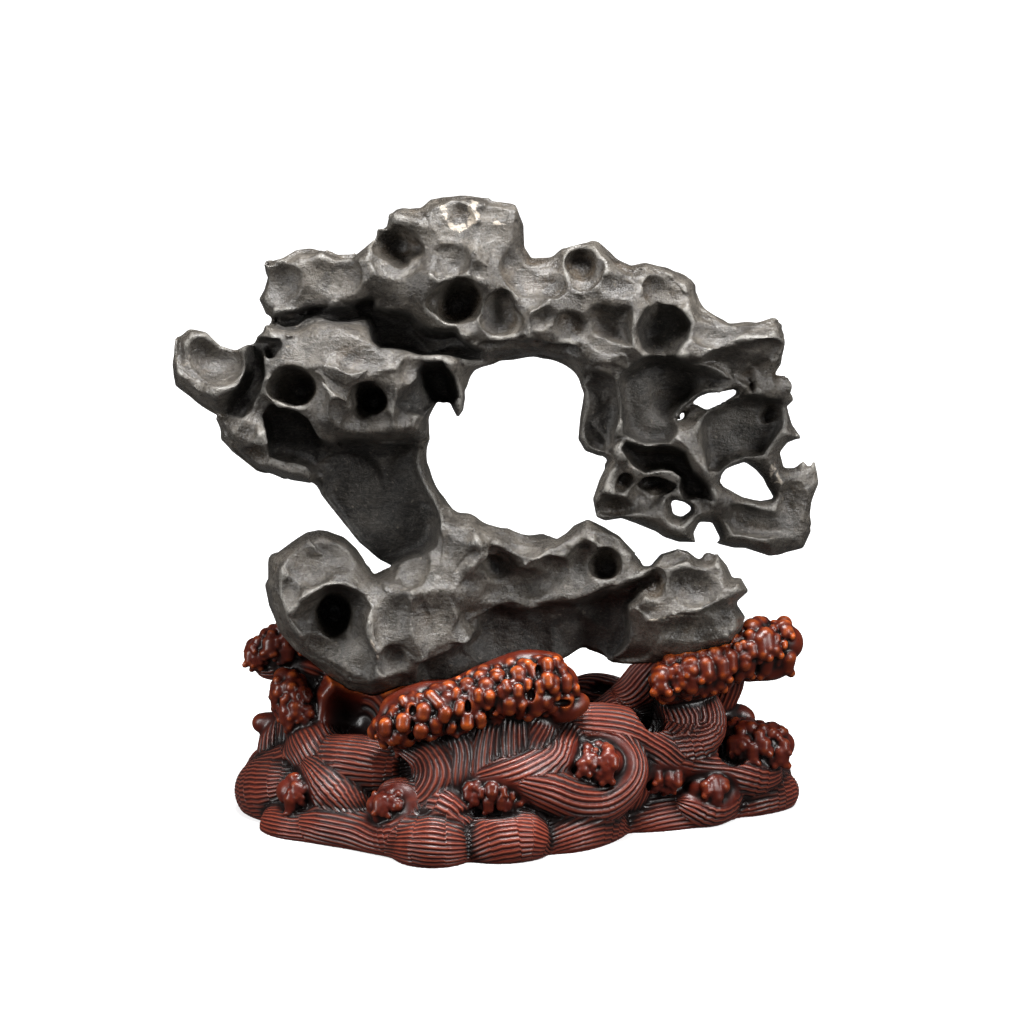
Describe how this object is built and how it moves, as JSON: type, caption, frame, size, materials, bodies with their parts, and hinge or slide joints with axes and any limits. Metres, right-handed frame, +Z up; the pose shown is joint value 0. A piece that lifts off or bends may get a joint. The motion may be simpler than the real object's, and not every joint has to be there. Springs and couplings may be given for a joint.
{
  "type": "scholars rock on a carved stand",
  "caption": "Dark, hollowed scholars' rock with a large ring-shaped hole, resting in a hardwood stand carved as cresting waves.",
  "frame": {"origin": "on the flat underside of the stand, under the middle plane of the rock, near the middle of its width", "axes": "+Z up; +X to the viewer's right across the rock's broad face; -Y toward the viewer, out of the face that the rock shows"},
  "size_m": [0.3855, 0.2242, 0.3801],
  "materials": {
    "dark_limestone": "dark grey-brown limestone, waxed and hand-polished on its ridges, matt in its hollows",
    "carved_hardwood": "red-brown carved hardwood with a glossy stain, amber on the foam heads"
  },
  "bodies": {
    "root": {"stone": "dark_limestone", "stand": "carved_hardwood"}
  },
  "joints": []
}
